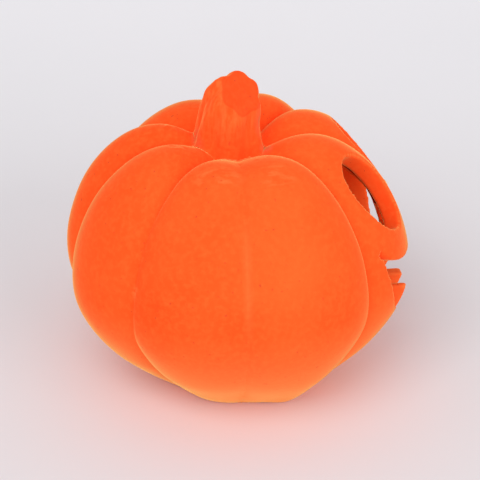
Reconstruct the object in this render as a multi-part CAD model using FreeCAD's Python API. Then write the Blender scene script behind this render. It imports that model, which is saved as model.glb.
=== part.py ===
import FreeCAD, Part
import math
import os

# Flocked ceramic pumpkin figure, free-standing. Millimetres, +Z up, the carved
# face looks along -Y and the flat base lies in the plane Z = 0.
# Azimuths are in degrees about +Z, counted from the face direction and
# positive toward +X.

os.makedirs("parts", exist_ok=True)
V = FreeCAD.Vector

# ---------------------------------------------------------------- body outline
# Crest line of a rib, from the stem well down to the base:
# radius, height, share of the groove depth that reaches this level.
CREST = [
    (6.0, 103.0, 0.00),
    (10.9, 106.1, 0.30),
    (16.8, 110.4, 0.60),
    (24.7, 113.6, 0.80),
    (32.5, 114.7, 0.90),
    (40.3, 113.2, 0.95),
    (48.1, 109.3, 1.00),
    (55.4, 103.5, 1.00),
    (61.7, 96.4, 1.00),
    (67.0, 88.1, 1.00),
    (71.2, 78.8, 1.00),
    (74.2, 68.5, 1.00),
    (75.7, 57.5, 1.00),
    (75.0, 46.6, 1.00),
    (70.8, 36.9, 1.00),
    (65.3, 28.4, 0.95),
    (59.6, 20.8, 0.90),
    (52.5, 13.9, 0.80),
    (45.7, 7.7, 0.60),
    (40.1, 2.8, 0.45),
    (35.7, 0.0, 0.35),
]

# Ribs in order round the body: azimuth and depth of the groove that starts
# the rib, extra crest height.
RIBS = [
    (-134.0, 8.0, -0.8),
    (-92.5, 3.2, 0.3),
    (-42.5, 7.5, 0.6),
    (2.0, 5.4, 0.4),
    (48.0, 9.5, 0.8),
    (88.0, 10.0, -0.3),
    (147.0, 10.5, 0.3),
    (180.0, 9.5, 0.0),
]
# Grooves that run out on the way down: rib that starts at the groove, crest rows
# over which it fades, depth from there to the base. Rib 3 starts in mid face.
FADING = {
    0: (4.0, 9.0, 5.5),
    3: (11.5, 13.0, 1.2),
}
# Uneven foot: azimuth and extra reach of the base outline there.
FOOT = [
    (-180.0, 0.0),
    (-160.0, -1.2),
    (-134.0, -2.0),
    (-115.0, 0.0),
    (-92.5, 0.2),
    (-80.0, 0.6),
    (-63.0, 4.2),
    (-50.0, 1.0),
    (-35.0, 2.7),
    (-20.0, 0.3),
    (0.0, 0.0),
    (180.0, 0.0),
]
FOOT_ROWS = 6          # lowest crest rows that follow the foot
ROUNDNESS = 0.5        # power of the cosine across a rib
COLUMNS = 10           # control columns across one rib, less one

# The cast hollow is plainer than the outside: softer ridges under the grooves,
# fewer control columns, and every second crest row.
ROUNDNESS_INSIDE = 1.0
DEPTH_INSIDE = 0.85
COLUMNS_INSIDE = 6
ROW_STEP_INSIDE = 2

WALL = 5.4             # fired ceramic wall
COAT = 0.6             # flock layer
COAT_LIFT = 0.4        # the flock stops this far above the base plane
ROLL_STEPS = 12        # steps each way of the round that rolls a layer over a ridge
ROLL_MIN_R = 8.0       # smallest radius and widest angle that the round is taken at
ROLL_MAX_TURN = 40.0
POUR_HOLE_R = 22.0     # drain and lamp hole in the base
ROOMY = 400.0          # edge of the block that trims the flock, well past the body

# --------------------------------------------------------------------- carving
EYES = [(-22.0, 9.0), (18.0, -9.0)]  # azimuth and lean of the oval's top
EYE_TILT = 34.0        # cut direction above the horizon
EYE_CENTRE_R = 63.7
EYE_CENTRE_Z = 96.8
EYE_HALF_WIDTH = 13.0
EYE_HALF_HEIGHT = 19.4
EYE_CUT = 30.0         # reach of the eye cuts to either side of the eye's centre
FACE_CUT = (-20.0, -100.0)  # y at which the straight cuts of nose and mouth start and end

# Outlines in the front view: x, z.
NOSE = [
    (-1.9, 76.0),
    (-3.7, 76.0),
    (-7.2, 69.2),
    (-6.4, 68.0),
    (1.0, 68.0),
    (1.8, 69.2),
]
UPPER_LIP = [
    (-40.2, 75.4),
    (-39.2, 72.2),
    (-38.0, 70.0),
    (-35.8, 68.1),
    (-33.0, 66.5),
    (-28.3, 64.9),
    (-20.0, 63.6),
    (-10.0, 62.8),
    (0.0, 62.5),
    (10.0, 63.2),
    (15.0, 65.2),
    (20.0, 68.2),
    (27.0, 71.2),
    (33.0, 73.4),
    (36.4, 77.0),
]
FAR_LIP = [
    (37.4, 76.0),
    (38.0, 67.5),
    (37.6, 60.5),
    (36.4, 54.0),
    (33.8, 47.5),
    (29.0, 42.2),
    (22.5, 38.6),
    (15.8, 36.4),
]
FAR_TOOTH = [(15.8, 48.2), (11.3, 47.6), (11.3, 34.8)]
FAR_GAP = [(6.0, 32.8), (-1.5, 31.6)]
MIDDLE_TOOTH = [(-1.5, 43.8), (-7.8, 44.6), (-7.8, 31.6)]
NEAR_GAP = [(-14.0, 32.8), (-20.5, 34.8)]
NEAR_TOOTH = [(-20.5, 47.7), (-25.0, 48.8), (-25.0, 38.2)]
NEAR_LIP = [
    (-29.5, 41.3),
    (-33.0, 43.8),
    (-35.6, 46.2),
    (-37.6, 49.6),
    (-38.7, 53.5),
    (-39.6, 58.5),
    (-40.3, 63.5),
    (-40.7, 69.0),
    (-40.9, 74.4),
]
MOUTH = UPPER_LIP + FAR_LIP + FAR_TOOTH + FAR_GAP + MIDDLE_TOOTH + NEAR_GAP + NEAR_TOOTH + NEAR_LIP

# ------------------------------------------------------------------------ stem
# Cross sections from the buried root to the cut end:
# centre x, y, z, lean toward -X, lean toward -Y, half width in Y, half width in X.
STEM = [
    (3.0, 3.2, 96.0, 0.0, 0.0, 21.5, 19.0),
    (2.6, 3.4, 103.0, 0.0, 0.0, 17.6, 16.2),
    (2.2, 3.6, 110.0, 0.0, 0.0, 14.4, 13.4),
    (1.8, 3.2, 118.5, 4.0, 0.0, 12.6, 12.0),
    (0.6, 1.8, 127.0, 20.0, 8.0, 11.6, 11.4),
    (-2.4, -1.9, 134.5, 40.0, 20.0, 7.7, 9.0),
]
STEM_FLUTES = 6
STEM_FLUTE_DEPTH = 0.08
STEM_POINTS = 36


# ------------------------------------------------------------- rib mathematics
def normal_at(k):
    """Outward normal of the crest line at row k, in the meridian plane."""
    if k == 0:
        return 0.0, 1.0
    if k == len(CREST) - 1:
        return 1.0, 0.0
    dr = CREST[k + 1][0] - CREST[k - 1][0]
    dz = CREST[k + 1][1] - CREST[k - 1][1]
    size = math.hypot(dr, dz)
    return -dz / size, dr / size


def rib_span(i):
    """Azimuths at which rib i starts and ends."""
    start = RIBS[i][0]
    end = RIBS[(i + 1) % len(RIBS)][0]
    return start, end if end > start else end + 360.0


def groove_depth(i, k):
    """Depth of the groove that starts rib i, at row k."""
    rib = i % len(RIBS)
    depth = RIBS[rib][1]
    if rib not in FADING:
        return depth
    first, last, low = FADING[rib]
    fade = min(max((k - first) / (last - first), 0.0), 1.0)
    return depth + (low - depth) * fade


def foot_reach(azimuth, k):
    """Extra radius of the foot at this azimuth, fading out above row k."""
    low = max(0, k - (len(CREST) - 1 - FOOT_ROWS)) / FOOT_ROWS
    turn = (azimuth + 180.0) % 360.0 - 180.0
    for (a0, r0), (a1, r1) in zip(FOOT, FOOT[1:]):
        if turn <= a1:
            break
    ease = (1.0 - math.cos(math.pi * (turn - a0) / (a1 - a0))) / 2.0
    return low * (r0 + (r1 - r0) * ease)


def sink(azimuth, k, power, part):
    """How far the surface lies inside the crest line at this azimuth and row."""
    for i in range(len(RIBS)):
        start, end = rib_span(i)
        turn = (azimuth - start) % 360.0
        if turn <= end - start + 1e-9:
            break
    u = 2.0 * turn / (end - start) - 1.0
    swell = max(math.cos(math.pi * u / 2.0), 0.0) ** power
    d0, d1 = groove_depth(i, k), groove_depth(i + 1, k)
    depth = part * (d0 + (d1 - d0) * (u + 1.0) / 2.0)
    share, rise = CREST[k][2], RIBS[i][2]
    return depth * share * (1.0 - swell) - rise * swell * share - foot_reach(azimuth, k)


def sunk_by(azimuth, k, layer):
    """Sink of the surface moved outward (layer > 0) or inward (layer < 0)."""
    if layer < 0.0:
        return sink(azimuth, k, ROUNDNESS_INSIDE, DEPTH_INSIDE) - layer
    radius = max(CREST[k][0], ROLL_MIN_R)
    span = min(math.degrees(layer / radius), ROLL_MAX_TURN)
    found = []
    for n in range(-ROLL_STEPS, ROLL_STEPS + 1):
        part = n / ROLL_STEPS
        bulge = layer * math.sqrt(1.0 - part * part)
        found.append(sink(azimuth + span * part, k, ROUNDNESS, 1.0) - bulge)
    return min(found)


def azimuths(i, columns):
    """Control azimuths of rib i, closer together beside the grooves."""
    start, end = rib_span(i)
    middle = (start + end) / 2.0
    half = (end - start) / 2.0
    found = []
    for n in range(columns + 1):
        s = 2.0 * n / columns - 1.0
        found.append(middle + half * math.sin(math.pi * s / 2.0))
    return found


def control_net(i, layer):
    """Control points of rib i for the surface moved by layer."""
    columns = COLUMNS_INSIDE if layer < 0 else COLUMNS
    net = []
    for k in range(0, len(CREST), ROW_STEP_INSIDE if layer < 0 else 1):
        radius, height = CREST[k][:2]
        nr, nz = normal_at(k)
        row = []
        for azimuth in azimuths(i, columns):
            depth = sunk_by(azimuth, k, layer)
            r = radius - depth * nr
            z = height - depth * nz
            if layer < 0 and k == len(CREST) - 1:
                z = -layer
            a = math.radians(azimuth)
            row.append(V(r * math.sin(a), -r * math.cos(a), z))
        net.append(row)
    return net


def knots_of(count):
    """Clamped uniform knots and multiplicities of a cubic with count poles."""
    inner = count - 4
    knots = [float(n) for n in range(inner + 2)]
    mults = [4] + [1] * inner + [4]
    return knots, mults


def rib_face(net):
    uk, um = knots_of(len(net))
    vk, vm = knots_of(len(net[0]))
    surface = Part.BSplineSurface()
    surface.buildFromPolesMultsKnots(net, um, vm, uk, vk, False, False, 3, 3)
    return surface.toShape()


def rim_edge(poles):
    knots, mults = knots_of(len(poles))
    curve = Part.BSplineCurve()
    curve.buildFromPolesMultsKnots(poles, mults, knots, False, 3)
    return curve.toShape()


def ribbed_solid(layer):
    """Closed ribbed body whose surface is moved by layer from the ceramic skin."""
    nets = [control_net(i, layer) for i in range(len(RIBS))]
    faces = [rib_face(net) for net in nets]
    for end in (0, -1):
        wire = Part.Wire([rim_edge(net[end]) for net in nets])
        faces.append(Part.Face(wire))
    shell = Part.Compound(faces)
    shell.sewShape()
    solid = Part.Solid(shell.Shells[0])
    if solid.Volume < 0:
        solid.reverse()
    return solid


# -------------------------------------------------------------------- carving
def front_prism(points):
    """Straight cut along Y with this outline (x, z) in the front view."""
    near, far = FACE_CUT
    corners = [V(x, near, z) for x, z in points]
    corners.append(corners[0])
    face = Part.Face(Part.makePolygon(corners))
    return face.extrude(V(0, far - near, 0))


def grown(points, by):
    """Closed outline moved outward by this distance, corner by corner."""
    area = 0.0
    count = len(points)
    for n in range(count):
        x0, z0 = points[n]
        x1, z1 = points[(n + 1) % count]
        area += x0 * z1 - x1 * z0
    turn = 1.0 if area > 0 else -1.0
    moved = []
    for n in range(count):
        x, z = points[n]
        x0, z0 = points[n - 1]
        x1, z1 = points[(n + 1) % count]
        la = math.hypot(x - x0, z - z0)
        lb = math.hypot(x1 - x, z1 - z)
        ax, az = turn * (z - z0) / la, -turn * (x - x0) / la
        bx, bz = turn * (z1 - z) / lb, -turn * (x1 - x) / lb
        scale = by / (1.0 + ax * bx + az * bz)
        moved.append((x + (ax + bx) * scale, z + (az + bz) * scale))
    return moved


def eye_cutter(azimuth, lean, extra):
    """Oval cut square to the wall, its top leaning toward -X by lean degrees."""
    a = math.radians(azimuth)
    t = math.radians(EYE_TILT)
    roll = math.radians(lean)
    out = V(math.sin(a) * math.cos(t), -math.cos(a) * math.cos(t), math.sin(t))
    level = V(math.cos(a), math.sin(a), 0.0)
    steep = level.cross(out) * -1.0
    up = steep * math.cos(roll) - level * math.sin(roll)
    across = level * math.cos(roll) + steep * math.sin(roll)
    centre = V(EYE_CENTRE_R * math.sin(a), -EYE_CENTRE_R * math.cos(a), EYE_CENTRE_Z)
    start = centre - out * EYE_CUT
    long_axis = start + up * (EYE_HALF_HEIGHT + extra)
    short_axis = start + across * (EYE_HALF_WIDTH + extra)
    oval = Part.Ellipse(long_axis, short_axis, start)
    face = Part.Face(Part.Wire(oval.toShape()))
    return face.extrude(out * (2.0 * EYE_CUT))


def carving(extra):
    """All cuts of the face, each widened by extra."""
    cuts = [eye_cutter(azimuth, lean, extra) for azimuth, lean in EYES]
    for outline in (NOSE, MOUTH):
        cuts.append(front_prism(grown(outline, extra)))
    return cuts


# ------------------------------------------------------------------------ stem
def stem_section(x, y, z, lean_x, lean_y, half_y, half_x, grow):
    """Closed fluted outline, tipped over toward -X and -Y."""
    tip = FreeCAD.Rotation(V(0, 1, 0), -lean_x).multiply(FreeCAD.Rotation(V(1, 0, 0), lean_y))
    points = []
    for n in range(STEM_POINTS):
        a = 2.0 * math.pi * n / STEM_POINTS
        ridge = 1.0 + STEM_FLUTE_DEPTH * math.cos(STEM_FLUTES * a)
        flat = V((half_x * ridge + grow) * math.cos(a), (half_y * ridge + grow) * math.sin(a), 0.0)
        points.append(V(x, y, z) + tip.multVec(flat))
    curve = Part.BSplineCurve()
    curve.interpolate(Points=points, PeriodicFlag=True)
    return Part.Wire(curve.toShape())


def stem_solid(grow):
    wires = []
    for n, (x, y, z, lean_x, lean_y, half_y, half_x) in enumerate(STEM):
        if n == len(STEM) - 1:
            lx = math.radians(lean_x)
            ly = math.radians(lean_y)
            x -= grow * math.sin(lx)
            y -= grow * math.cos(lx) * math.sin(ly)
            z += grow * math.cos(lx) * math.cos(ly)
        wires.append(stem_section(x, y, z, lean_x, lean_y, half_y, half_x, grow))
    return Part.makeLoft(wires, True, False)


# ------------------------------------------------------------------- assembly
def minus(solid, tools):
    for tool in tools:
        solid = solid.cut(tool)
    return solid


def largest(shape):
    return max(shape.Solids, key=lambda s: s.Volume)


ceramic_body = ribbed_solid(0.0)
coated_body = ribbed_solid(COAT)
cavity = ribbed_solid(-WALL)

stem_core = stem_solid(0.0)
stem_coated = stem_solid(COAT)
pour_hole = Part.makeCylinder(POUR_HOLE_R, 3.0 * WALL, V(0, 0, -WALL))
below_coat = Part.makeBox(ROOMY, ROOMY, ROOMY, V(-ROOMY / 2.0, -ROOMY / 2.0, COAT_LIFT - ROOMY))

carved_body = minus(ceramic_body, carving(COAT))
shell = largest(minus(carved_body, [cavity, pour_hole]))

stem = largest(stem_core.cut(ceramic_body))

coat = coated_body.cut(carved_body)
coat = minus(coat, [cavity] + carving(0.0) + [stem_core, below_coat, pour_hole])
body_flock = largest(coat)

stem_flock = largest(minus(stem_coated, [stem_core, coated_body]))

NODES = {
    "ceramic_shell": shell,
    "ceramic_stem": stem,
    "body_flock": body_flock,
    "stem_flock": stem_flock,
}
for name, shape in NODES.items():
    shape.exportStep("parts/" + name + ".step")
    box = shape.BoundBox
    print(name, shape.isValid(), round(shape.Volume), len(shape.Faces), len(shape.Solids),
          [round(v, 1) for v in (box.XMin, box.YMin, box.ZMin, box.XMax, box.YMax, box.ZMax)])
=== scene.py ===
import math

import bmesh
import bpy
from mathutils import Matrix, Vector, noise
from mathutils.bvhtree import BVHTree


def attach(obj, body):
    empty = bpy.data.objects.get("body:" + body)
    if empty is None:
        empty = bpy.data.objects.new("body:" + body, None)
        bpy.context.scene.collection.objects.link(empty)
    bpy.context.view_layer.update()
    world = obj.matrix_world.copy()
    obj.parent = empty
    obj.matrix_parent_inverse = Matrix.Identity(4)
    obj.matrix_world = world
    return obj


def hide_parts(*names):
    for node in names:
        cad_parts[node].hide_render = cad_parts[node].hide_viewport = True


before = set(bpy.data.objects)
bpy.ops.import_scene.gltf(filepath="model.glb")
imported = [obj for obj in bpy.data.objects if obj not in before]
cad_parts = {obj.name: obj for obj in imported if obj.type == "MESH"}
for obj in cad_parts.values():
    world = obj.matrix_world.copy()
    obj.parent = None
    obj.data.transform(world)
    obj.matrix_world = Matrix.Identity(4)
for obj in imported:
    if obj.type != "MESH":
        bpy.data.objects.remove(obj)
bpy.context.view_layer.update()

# Flocked ceramic pumpkin figure. Metres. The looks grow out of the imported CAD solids:
# the ceramic is softened with its edges rounded, and the flock is a thin closed coat
# laid over the outside and over the cut faces of the carving.

MM = 0.001

# ---------------------------------------------------------------- driving sizes
WELD = 0.01 * MM             # corners closer than this are one corner
VOXEL_BODY = 0.85 * MM       # remesh steps
VOXEL_STEM = 0.5 * MM
VOXEL_SKIN = 0.6 * MM
SOFTEN_BODY = 5              # smoothing passes, which round the cut edges
SOFTEN_STEM = 4
SOFTEN_SKIN = 5
SOFTEN_TIP = 1
SOFTEN_ROOT = 60
SOFTEN_FACTOR = 0.5
COAT = 0.6 * MM              # how far the flock stands off the ceramic
COAT_THICK = 0.45 * MM
COAT_REACH = 0.9 * MM        # ceramic this close to the CAD flock carries flock
ROOT_REACH = 4.0 * MM        # the same round the root, where the skin is filled out
BASE_CLEAR = 0.5 * MM        # bare ceramic rim above the table
RIM_PASSES = 40              # evening passes along the open edge of a coat
BODY_UNEVEN = 0.15 * MM      # height and spacing of the surface's irregularities
BODY_GRAIN = 14.0 * MM
STEM_UNEVEN = 0.45 * MM
STEM_GRAIN = 2.6 * MM
STEM_STRETCH = 0.18          # the stem's ridges run along it
CERAMIC_FACES = 150000       # triangles left in each piece's mesh
COAT_FACES = 84000
STEM_FACES = 30000

STEM_AXIS = Vector((2.4 * MM, 3.4 * MM, 0.0))
STEM_CLEAR_Z = 113.0 * MM    # the stem stands free above this height
ROOT_Z = (98.0 * MM, 118.0 * MM)     # heights and distances from the stem's axis
ROOT_R = (12.0 * MM, 28.0 * MM)      # between which its root runs into the crown
ROOT_GAIN = 1.6

CAMERA_ELEVATION = math.radians(30.0)
CAMERA_TURN = math.radians(6.5)
CAMERA_DISTANCE = 0.9
CAMERA_LENS = 153.6          # millimetres, on a sensor 36 mm wide
CAMERA_SENSOR = 36.0
LOOK_RIGHT = 1.58 * MM
LOOK_HEIGHT = 61.68 * MM


# ----------------------------------------------------------------- mesh helpers
def link(name, mesh):
    obj = bpy.data.objects.new(name, mesh)
    bpy.context.scene.collection.objects.link(obj)
    return obj


def welded(*nodes):
    """Copy of CAD nodes' meshes, together, with their split corners joined."""
    bm = bmesh.new()
    for node in nodes:
        bm.from_mesh(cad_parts[node].data)
    bmesh.ops.remove_doubles(bm, verts=bm.verts, dist=WELD)
    mesh = bpy.data.meshes.new("copy")
    bm.to_mesh(mesh)
    bm.free()
    return mesh


def applied(obj):
    """The object's mesh with its modifiers applied; the object is removed."""
    depsgraph = bpy.context.evaluated_depsgraph_get()
    mesh = bpy.data.meshes.new_from_object(obj.evaluated_get(depsgraph), depsgraph=depsgraph)
    bpy.data.objects.remove(obj)
    return mesh


def even(mesh, voxel):
    """The mesh rebuilt in even steps; solids that meet become one."""
    obj = link("even", mesh)
    remesh = obj.modifiers.new("remesh", "REMESH")
    remesh.mode = "VOXEL"
    remesh.voxel_size = voxel
    return applied(obj)


def rounded(mesh, zones):
    """The mesh smoothed in zones, each a weight at a place and a number of passes."""
    obj = link("rounded", mesh)
    for number, (weight, passes) in enumerate(zones):
        group = obj.vertex_groups.new(name="zone%d" % number)
        for v in mesh.vertices:
            amount = weight(v.co)
            if amount > 0.0:
                group.add([v.index], amount, "REPLACE")
        smooth = obj.modifiers.new("smooth", "SMOOTH")
        smooth.factor = SOFTEN_FACTOR
        smooth.iterations = passes
        smooth.vertex_group = group.name
    return applied(obj)


def everywhere(place):
    return 1.0


def off_axis(place):
    return math.hypot(place.x - STEM_AXIS.x, place.y - STEM_AXIS.y)


def is_stem(place):
    return place.z > STEM_CLEAR_Z and off_axis(place) < ROOT_R[1]


def on_body(place):
    return 0.0 if is_stem(place) else 1.0


def on_tip(place):
    return 1.0 if is_stem(place) else 0.0


def at_root(place):
    """1 in the crease round the stem's foot, easing to 0 away from it."""
    up = (place.z - ROOT_Z[0]) / (ROOT_Z[1] - ROOT_Z[0])
    out = (off_axis(place) - ROOT_R[0]) / (ROOT_R[1] - ROOT_R[0])
    if not (0.0 < up < 1.0 and 0.0 < out < 1.0):
        return 0.0
    return min(1.0, ROOT_GAIN * math.sin(math.pi * up) * math.sin(math.pi * out))


def thinned(mesh, name, faces):
    """The mesh reduced to about this many triangles."""
    obj = link(name, mesh)
    count = sum(len(p.vertices) - 2 for p in mesh.polygons)
    if count > faces:
        reduce = obj.modifiers.new("reduce", "DECIMATE")
        reduce.ratio = faces / count
    return applied(obj)


def finished(name, mesh, material):
    """A smooth-shaded piece that rides on the only body."""
    mesh.materials.clear()
    mesh.materials.append(material)
    mesh.shade_smooth()
    obj = link(name, mesh)
    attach(obj, "root")
    return obj


# --------------------------------------------------------------------- the coat
def gap_to(node):
    """Distance from a place to a CAD node; the tree is kept in millimetres."""
    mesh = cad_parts[node].data
    corners = [v.co / MM for v in mesh.vertices]
    tree = BVHTree.FromPolygons(corners, [tuple(p.vertices) for p in mesh.polygons])
    return lambda place: tree.find_nearest(place / MM)[3] * MM


def even_rim(bm, passes):
    """Evens out the open edge of the coat, which follows the remesh steps."""
    rim = [v for v in bm.verts if v.is_boundary]
    for _ in range(passes):
        moved = {}
        for v in rim:
            beside = [e.other_vert(v).co for e in v.link_edges if e.is_boundary]
            if len(beside) == 2:
                moved[v] = (v.co * 2.0 + beside[0] + beside[1]) / 4.0
        for v, place in moved.items():
            v.co = place


def unevenness(place):
    """Hand-made irregularity of the surface; the stem is ridged along its length."""
    if is_stem(place):
        ridges = noise.noise(Vector((place.x, place.y, place.z * STEM_STRETCH)) / STEM_GRAIN)
        return STEM_UNEVEN * ridges
    return BODY_UNEVEN * noise.noise(place / BODY_GRAIN)


def coat_over(skin, own, other, lowest):
    """Open surface a coat's thickness outside the skin wherever this CAD flock lies."""
    to_own, to_other = gap_to(own), gap_to(other)
    bm = bmesh.new()
    bm.from_mesh(skin)
    bm.normal_update()
    bare = []
    for f in bm.faces:
        place = f.calc_center_median()
        gap = to_own(place)
        reach = ROOT_REACH if at_root(place) > 0.0 else COAT_REACH
        if place.z < lowest or gap > reach or gap > to_other(place):
            bare.append(f)
    for v in bm.verts:
        v.co += v.normal * (COAT + unevenness(v.co))
    bmesh.ops.delete(bm, geom=bare, context="FACES")
    loose = [f for f in bm.faces if sum(e.is_boundary for e in f.edges) > 2]
    bmesh.ops.delete(bm, geom=loose, context="FACES")
    even_rim(bm, RIM_PASSES)
    mesh = bpy.data.meshes.new(own + "_open")
    bm.to_mesh(mesh)
    bm.free()
    return mesh


def closed_coat(name, skin, own, other, lowest, faces, material):
    """The coat as one thin closed layer, thickened inwards from its outer face."""
    mesh = thinned(coat_over(skin, own, other, lowest), name + "_thin", faces)
    obj = link(name + "_layer", mesh)
    solid = obj.modifiers.new("thickness", "SOLIDIFY")
    solid.thickness = COAT_THICK
    solid.offset = -1.0
    return finished(name, applied(obj), material)


# -------------------------------------------------------------------- materials
class Nodes:
    """Small helper that adds and links shader nodes of one material."""

    def __init__(self, name):
        self.material = bpy.data.materials.new(name)
        self.material.use_nodes = True
        self.tree = self.material.node_tree
        self.tree.nodes.clear()
        self.output = self.add("ShaderNodeOutputMaterial")
        self.shader = self.add("ShaderNodeBsdfPrincipled")
        self.tree.links.new(self.shader.outputs["BSDF"], self.output.inputs["Surface"])
        self.place = self.add("ShaderNodeTexCoord").outputs["Object"]

    def add(self, kind, **settings):
        node = self.tree.nodes.new(kind)
        for key, value in settings.items():
            setattr(node, key, value)
        return node

    def put(self, node, socket, value):
        if isinstance(value, bpy.types.NodeSocket):
            self.tree.links.new(value, node.inputs[socket])
        else:
            node.inputs[socket].default_value = value

    def grain(self, scale, detail=2.0, roughness=0.5, stretch=None):
        """Noise in object space; scale is in features per metre."""
        node = self.add("ShaderNodeTexNoise")
        where = self.place
        if stretch:
            squeeze = self.add("ShaderNodeMapping")
            self.put(squeeze, "Vector", where)
            squeeze.inputs["Scale"].default_value = stretch
            where = squeeze.outputs["Vector"]
        self.put(node, "Vector", where)
        self.put(node, "Scale", scale)
        self.put(node, "Detail", detail)
        self.put(node, "Roughness", roughness)
        return node.outputs["Fac"]

    def ramp(self, value, stops):
        """Colour ramp; stops are (position, linear colour)."""
        node = self.add("ShaderNodeValToRGB")
        while len(node.color_ramp.elements) < len(stops):
            node.color_ramp.elements.new(0.5)
        for element, (position, colour) in zip(node.color_ramp.elements, stops):
            element.position = position
            element.color = (*colour, 1.0)
        self.put(node, "Fac", value)
        return node.outputs["Color"]

    def spread(self, value, low, high, out_low=0.0, out_high=1.0):
        """Value between low and high stretched to the output range, clamped."""
        node = self.add("ShaderNodeMapRange")
        self.put(node, "Value", value)
        for socket, number in (("From Min", low), ("From Max", high),
                               ("To Min", out_low), ("To Max", out_high)):
            self.put(node, socket, number)
        return node.outputs["Result"]

    def blend(self, amount, first, second):
        node = self.add("ShaderNodeMix", data_type="RGBA")
        self.put(node, 0, amount)
        self.put(node, 6, first)
        self.put(node, 7, second)
        return node.outputs[2]

    def maths(self, operation, first, second):
        node = self.add("ShaderNodeMath", operation=operation)
        self.put(node, 0, first)
        self.put(node, 1, second)
        return node.outputs[0]

    def bump(self, height, distance, strength, below=None):
        node = self.add("ShaderNodeBump")
        self.put(node, "Height", height)
        self.put(node, "Distance", distance)
        self.put(node, "Strength", strength)
        if below is not None:
            self.put(node, "Normal", below)
        return node.outputs["Normal"]

    def within(self, centre, size):
        """1 at a spot's centre, falling to 0 at its soft edge."""
        shift = self.add("ShaderNodeMapping", vector_type="TEXTURE")
        self.put(shift, "Vector", self.place)
        shift.inputs["Location"].default_value = centre
        shift.inputs["Scale"].default_value = size
        ball = self.add("ShaderNodeTexGradient", gradient_type="SPHERICAL")
        self.put(ball, "Vector", shift.outputs["Vector"])
        return ball.outputs["Fac"]


# Linear colours.
FLOCK = (1.0, 0.100, 0.017)
FLOCK_DEEP = (1.0, 0.080, 0.012)
FLOCK_PALE = (1.0, 0.145, 0.028)
FLOCK_WORN_AND_SHEEN = (1.0, 0.190, 0.048)
FLOCK_PAINTED_LIGHT = (1.0, 0.270, 0.070)
FLOCK_CUT_SHADE = (0.90, 0.062, 0.012)
FLOCK_GLOW = (1.0, 0.05, 0.0)
GLOW_STRENGTH = 0.12         # painted glow: a steady emission standing in for the light that daylight-fluorescent pigment gives back
SHEEN_TINT = (1.0, 0.72, 0.24)
SPECK = (0.35, 0.05, 0.02)
ROOT_GREY_BROWN = (0.42, 0.16, 0.09)
EARTHENWARE = (0.45, 0.013, 0.005)
EARTHENWARE_PALE = (0.56, 0.026, 0.009)

# Marks on the flock: centre and half sizes, millimetres.
BRUSHED = [
    ((-38.0, -13.0, 113.0), (9.0, 9.0, 7.0)),
    ((-35.0, 11.0, 113.0), (8.0, 13.0, 6.0)),
    ((-50.3, 47.1, 68.0), (2.5, 2.5, 5.0)),
]
# Greyish-brown patches round the stem's root: centre and half sizes, millimetres.
ROOT_PATCHES = [
    ((-3.9, -9.7, 122.0), (5.0, 4.0, 9.0)),
    ((-5.0, -12.5, 109.0), (6.0, 4.0, 4.0)),
    ((0.0, 16.0, 112.0), (9.0, 4.0, 6.0)),
]
PAINTED_RIM_SHEEN = (0.535, 0.60, 0.0, 0.75)  # painted sheen on sharp rims: from and to pointiness, and how pale the rims are painted

CREASE = (0.0436, 0.9990, 0.0)      # across the crease that runs down the -X side
CREASE_OFF = -0.1 * MM
CREASE_HALF = 2.6 * MM
CREASE_Z = ((0.052, 0.070), (0.104, 0.090))  # its painted sheen line comes and goes over these heights
CREASE_X = (-0.04, -0.05)           # and starts this far out
CREASE_SHEEN_STRENGTH = 0.35
CUT_PLACE = (-2.3, -1.3, 135.7)     # on the sloping cut of the stem
CUT_NORMAL = (-0.602, -0.341, 0.722)
CUT_BAND = 1.3                      # how near the cut's plane counts as the cut face
CUT_EDGE = (12.0, 13.0)             # and how far from its middle, both in millimetres
CUT_SHADE_STRENGTH = 0.7
STEM_FADE = (0.112, 0.120)          # heights over which the stem's streaks come in
PAINTED_FOOT_LIGHT = (0.006, 0.058)              # heights between which the painted light on the lower body fades out


def spots(m, places):
    """Mask that is 1 in the middle of each of these marks."""
    mask = 0.0
    for centre, size in places:
        spot = m.within([c * MM for c in centre], [c * MM for c in size])
        mask = m.maths("MAXIMUM", spot, mask)
    return mask


def cut_face(m):
    """Mask of the flat cut at the tip of the stem."""
    away = m.add("ShaderNodeVectorMath", operation="DISTANCE")
    along = m.add("ShaderNodeVectorMath", operation="DOT_PRODUCT")
    offset = m.add("ShaderNodeVectorMath", operation="SUBTRACT")
    m.put(offset, 0, m.place)
    m.put(offset, 1, [c * MM for c in CUT_PLACE])
    m.put(along, 0, offset.outputs["Vector"])
    m.put(along, 1, CUT_NORMAL)
    m.put(away, 0, offset.outputs["Vector"])
    m.put(away, 1, (0.0, 0.0, 0.0))
    level = m.maths("ABSOLUTE", along.outputs["Value"], 0.0)
    flat = m.spread(level, 0.6 * CUT_BAND * MM, CUT_BAND * MM, 1.0, 0.0)
    near = m.spread(away.outputs["Value"], CUT_EDGE[0] * MM, CUT_EDGE[1] * MM, 1.0, 0.0)
    return m.maths("MULTIPLY", flat, near)


def painted_crease_sheen(m, z):
    """Mask of the painted sheen: a pale line along the crease of the -X side."""
    across = m.add("ShaderNodeVectorMath", operation="DOT_PRODUCT")
    m.put(across, 0, m.place)
    m.put(across, 1, CREASE)
    off = m.maths("ABSOLUTE", m.maths("SUBTRACT", across.outputs["Value"], CREASE_OFF), 0.0)
    mask = m.spread(off, 0.0, CREASE_HALF, 1.0, 0.0)
    for start, end in CREASE_Z:
        mask = m.maths("MULTIPLY", mask, m.spread(z, start, end))
    side = m.add("ShaderNodeSeparateXYZ")
    m.put(side, "Vector", m.place)
    return m.maths("MULTIPLY", mask, m.spread(side.outputs["X"], *CREASE_X))


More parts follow.
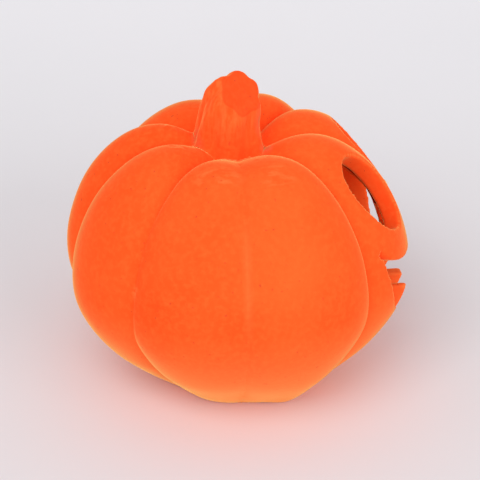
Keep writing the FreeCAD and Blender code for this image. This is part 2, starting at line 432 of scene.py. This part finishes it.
def flock_material():
    """Short velvet pile: soft colour, pale at grazing angles, with faint marks; some sheen,
    shade and glow are painted in.
    """
    m = Nodes("flock")
    broad = m.grain(16.0, 3.0, 0.55)
    tuft = m.grain(420.0, 2.0, 0.6)
    fibre = m.grain(2600.0, 2.0, 0.7)
    streak = m.grain(500.0, 2.0, 0.6, stretch=(1.0, 1.0, 0.12))
    colour = m.ramp(broad, [(0.30, FLOCK_DEEP), (0.5, FLOCK), (0.80, FLOCK_PALE)])
    colour = m.blend(m.spread(tuft, 0.42, 0.70, 0.0, 0.5), colour, (*FLOCK_PALE, 1.0))
    colour = m.blend(m.spread(fibre, 0.55, 0.30, 0.0, 0.25), colour, (*FLOCK_DEEP, 1.0))

    height = m.add("ShaderNodeSeparateXYZ")
    m.put(height, "Vector", m.place)
    # Painted light: the lower body is painted paler, standing in for light bounced up from
    # the table and the pile's sheen at grazing angles.
    foot = m.spread(height.outputs["Z"], PAINTED_FOOT_LIGHT[1], PAINTED_FOOT_LIGHT[0], 0.0, 0.85)
    colour = m.blend(foot, colour, (*FLOCK_PAINTED_LIGHT, 1.0))
    # Painted sheen: a pale line is painted along the crease where the pile's flank turns
    # edge-on.
    line = m.maths("MULTIPLY", painted_crease_sheen(m, height.outputs["Z"]), CREASE_SHEEN_STRENGTH)
    colour = m.blend(line, colour, (*FLOCK_WORN_AND_SHEEN, 1.0))
    on_stem = m.spread(height.outputs["Z"], *STEM_FADE)
    ridged = m.maths("MULTIPLY", on_stem, m.spread(streak, 0.40, 0.66, 0.0, 0.45))
    colour = m.blend(ridged, colour, (*FLOCK_WORN_AND_SHEEN, 1.0))
    # Painted shade: the flat cut at the stem's tip is painted darker than the pile, standing
    # in for the shading of its sloping face.
    cut = m.maths("MULTIPLY", cut_face(m), CUT_SHADE_STRENGTH)
    colour = m.blend(cut, colour, (*FLOCK_CUT_SHADE, 1.0))

    # Painted sheen: sharp rims are painted paler, standing in for the pile's sheen at grazing
    # angles.
    edge = m.add("ShaderNodeNewGeometry").outputs["Pointiness"]
    colour = m.blend(m.spread(edge, *PAINTED_RIM_SHEEN), colour, (*FLOCK_PAINTED_LIGHT, 1.0))

    stroke = m.spread(m.grain(300.0, 3.0, 0.6, stretch=(1.0, 0.45, 1.0)), 0.46, 0.62)
    brushed = m.maths("MULTIPLY", m.spread(spots(m, BRUSHED), 0.0, 0.5, 0.0, 0.65), stroke)
    colour = m.blend(brushed, colour, (*FLOCK_WORN_AND_SHEEN, 1.0))
    # Greyish-brown patches round the stem's root.
    root_patched = m.maths("MULTIPLY", m.spread(spots(m, ROOT_PATCHES), 0.0, 0.7, 0.0, 0.55),
                      m.spread(tuft, 0.30, 0.60, 0.4, 1.0))
    colour = m.blend(root_patched, colour, (*ROOT_GREY_BROWN, 1.0))
    dust = m.grain(800.0, 0.0, 0.5)
    colour = m.blend(m.spread(dust, 0.79, 0.83, 0.0, 0.55), colour, (*SPECK, 1.0))

    m.put(m.shader, "Base Color", colour)
    m.put(m.shader, "Roughness", 0.95)
    m.put(m.shader, "Specular IOR Level", 0.03)
    m.put(m.shader, "Sheen Weight", 1.0)
    m.put(m.shader, "Sheen Roughness", 0.3)
    m.put(m.shader, "Sheen Tint", (*SHEEN_TINT, 1.0))
    # Painted glow: the flock gives off a little light of its own.
    m.put(m.shader, "Emission Color", (*FLOCK_GLOW, 1.0))
    m.put(m.shader, "Emission Strength", GLOW_STRENGTH)
    pile = m.bump(tuft, 0.10 * MM, 0.5)
    m.put(m.shader, "Normal", m.bump(fibre, 0.06 * MM, 0.6, pile))
    return m.material


def ceramic_material():
    """Matt orange earthenware with the grain left by the mould and the knife."""
    m = Nodes("ceramic")
    broad = m.grain(30.0, 3.0, 0.6)
    grain = m.grain(900.0, 3.0, 0.65)
    pits = m.grain(260.0, 1.0, 0.5)
    colour = m.ramp(broad, [(0.32, EARTHENWARE), (0.70, EARTHENWARE_PALE)])
    colour = m.blend(m.spread(grain, 0.62, 0.36, 0.0, 0.4), colour, (*EARTHENWARE, 1.0))
    m.put(m.shader, "Base Color", colour)
    m.put(m.shader, "Roughness", m.spread(broad, 0.3, 0.7, 0.78, 0.9))
    m.put(m.shader, "Specular IOR Level", 0.1)
    coarse = m.bump(pits, 0.25 * MM, 0.35)
    m.put(m.shader, "Normal", m.bump(grain, 0.08 * MM, 0.5, coarse))
    return m.material


PAPER = ((0.0, 0.77), (0.42, 0.78), (0.55, 0.80), (0.72, 0.90), (0.90, 1.0))
PAPER_REACH = 0.5            # the tones run this far before and behind the figure


def table_material():
    """Pale matt paper sweep, painted lighter toward the back to stand in for how the light
    falls on it.
    """
    m = Nodes("paper")
    reach = m.add("ShaderNodeSeparateXYZ")
    m.put(reach, "Vector", m.place)
    # Painted light: the paper's tone brightens toward the back.
    tone = m.maths("ADD", m.spread(reach.outputs["X"], -PAPER_REACH, PAPER_REACH),
                   m.spread(m.grain(9.0, 2.0, 0.5), 0.0, 1.0, -0.02, 0.02))
    stops = [(at, (grey, 0.985 * grey, grey)) for at, grey in PAPER]
    m.put(m.shader, "Base Color", m.ramp(tone, stops))
    m.put(m.shader, "Roughness", 0.9)
    m.put(m.shader, "Specular IOR Level", 0.1)
    return m.material


# ----------------------------------------------------------------------- pieces
flock = flock_material()
ceramic = ceramic_material()

skin = even(welded("ceramic_shell", "ceramic_stem"), VOXEL_SKIN)
skin = rounded(skin, ((on_body, SOFTEN_SKIN), (on_tip, SOFTEN_TIP), (at_root, SOFTEN_ROOT)))
body_flock = closed_coat("flock_body", skin, "body_flock", "stem_flock", BASE_CLEAR,
                         COAT_FACES, flock)
stem_flock = closed_coat("flock_stem", skin, "stem_flock", "body_flock", BASE_CLEAR,
                         STEM_FACES, flock)

body = rounded(even(welded("ceramic_shell"), VOXEL_BODY), ((everywhere, SOFTEN_BODY),))
body_ceramic = finished("ceramic_body", thinned(body, "body_thin", CERAMIC_FACES), ceramic)
stem = rounded(even(welded("ceramic_stem"), VOXEL_STEM), ((everywhere, SOFTEN_STEM),))
stem_ceramic = finished("ceramic_stalk", thinned(stem, "stem_thin", STEM_FACES), ceramic)

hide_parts("body_flock")
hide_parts("ceramic_shell")
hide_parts("stem_flock")
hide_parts("ceramic_stem")


# ------------------------------------------------------------------------ stage
SURROUND = (0.97, 0.97, 1.0)
LAMP_AIM = (0.0, 0.0, 0.06)


def sweep():
    """Paper sweep: a flat table that curves up into a wall behind the figure."""
    half_width, front, back, radius, height = 1.6, -1.6, 1.1, 0.5, 1.6
    profile = [(front, 0.0), (back, 0.0)]
    steps = 24
    for step in range(1, steps + 1):
        angle = math.radians(90.0) * step / steps
        profile.append((back + radius * math.sin(angle), radius * (1.0 - math.cos(angle))))
    profile.append((back + radius, height))
    corners = []
    for reach, z in profile:
        for across in (-half_width, half_width):
            corners.append((reach, across, z))
    faces = [(2 * n, 2 * n + 1, 2 * n + 3, 2 * n + 2) for n in range(len(profile) - 1)]
    mesh = bpy.data.meshes.new("sweep")
    mesh.from_pydata(corners, [], faces)
    mesh.shade_smooth()
    obj = link("sweep", mesh)
    obj.rotation_euler.z = -CAMERA_TURN
    mesh.materials.append(table_material())


def lamp(name, place, size, power):
    """Soft box that faces the figure; size is its width and height."""
    light = bpy.data.lights.new(name, "AREA")
    light.shape = "RECTANGLE"
    light.size, light.size_y = size
    light.energy = power
    obj = bpy.data.objects.new(name, light)
    bpy.context.scene.collection.objects.link(obj)
    direction = Vector(LAMP_AIM) - Vector(place)
    obj.matrix_world = (Matrix.Translation(place)
                        @ direction.to_track_quat("-Z", "Y").to_matrix().to_4x4())


def surround(strength):
    world = bpy.data.worlds.new("studio")
    world.use_nodes = True
    background = world.node_tree.nodes["Background"]
    background.inputs["Color"].default_value = (*SURROUND, 1.0)
    background.inputs["Strength"].default_value = strength
    bpy.context.scene.world = world


def camera():
    """Side view from 30 degrees above, with the face turned a little away."""
    turn, rise = CAMERA_TURN, CAMERA_ELEVATION
    right = Vector((-math.sin(turn), -math.cos(turn), 0.0))
    away = Vector((math.cos(turn), -math.sin(turn), 0.0))
    target = right * LOOK_RIGHT + Vector((0.0, 0.0, LOOK_HEIGHT))
    forward = away * math.cos(rise) - Vector((0.0, 0.0, math.sin(rise)))
    up = right.cross(forward)
    data = bpy.data.cameras.new("camera")
    data.lens = CAMERA_LENS
    data.sensor_width = CAMERA_SENSOR
    obj = bpy.data.objects.new("camera", data)
    bpy.context.scene.collection.objects.link(obj)
    axes = Matrix((right, up, -forward)).transposed().to_4x4()
    obj.matrix_world = Matrix.Translation(target - forward * CAMERA_DISTANCE) @ axes
    bpy.context.scene.camera = obj


sweep()
surround(0.58)
lamp("key", (-0.9, 0.5, 1.1), (0.9, 0.9), 9.0)
lamp("fill", (-1.1, -0.7, 0.6), (1.0, 0.8), 6.0)
camera()
bpy.context.scene.view_settings.view_transform = "Standard"
